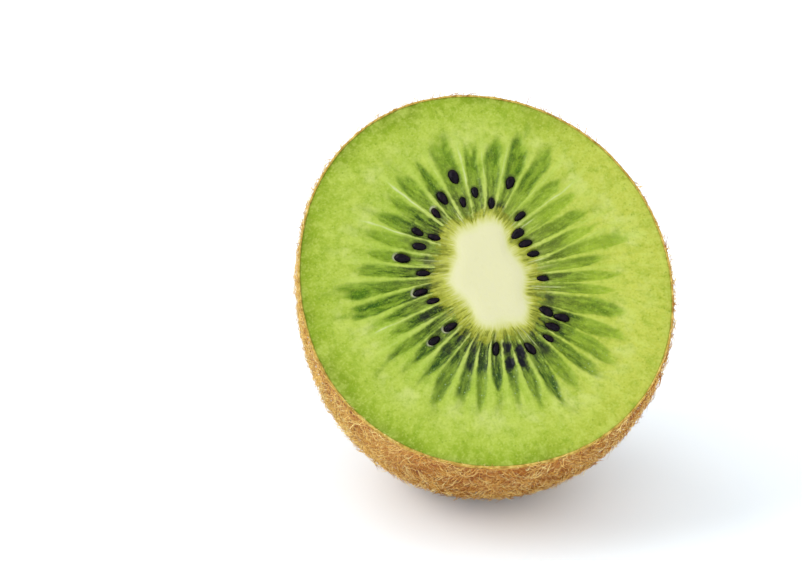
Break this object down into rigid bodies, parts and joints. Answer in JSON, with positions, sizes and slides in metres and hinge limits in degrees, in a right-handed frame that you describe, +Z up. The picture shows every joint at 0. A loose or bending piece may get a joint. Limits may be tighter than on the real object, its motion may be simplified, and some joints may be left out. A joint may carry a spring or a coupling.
{
  "type": "kiwi fruit half",
  "caption": "Half of a kiwi fruit cut crosswise, lying on its fuzzy skin with the seeded cut face turned forward and up.",
  "frame": {"origin": "middle of the small flat spot on the skin that the half rests on", "axes": "+Z up; the cut face looks towards -Y and climbs 45 degrees; +X to the right of someone facing the cut"},
  "size_m": [0.0483, 0.0506, 0.0504],
  "materials": {
    "flesh": "moist, translucent green",
    "seed": "glossy purple-black",
    "skin": "matt papery brown skin",
    "fuzz": "short golden-brown hairs",
    "scar": "dry woody crust"
  },
  "bodies": {
    "root": {"kiwi_half": "flesh"}
  },
  "joints": []
}
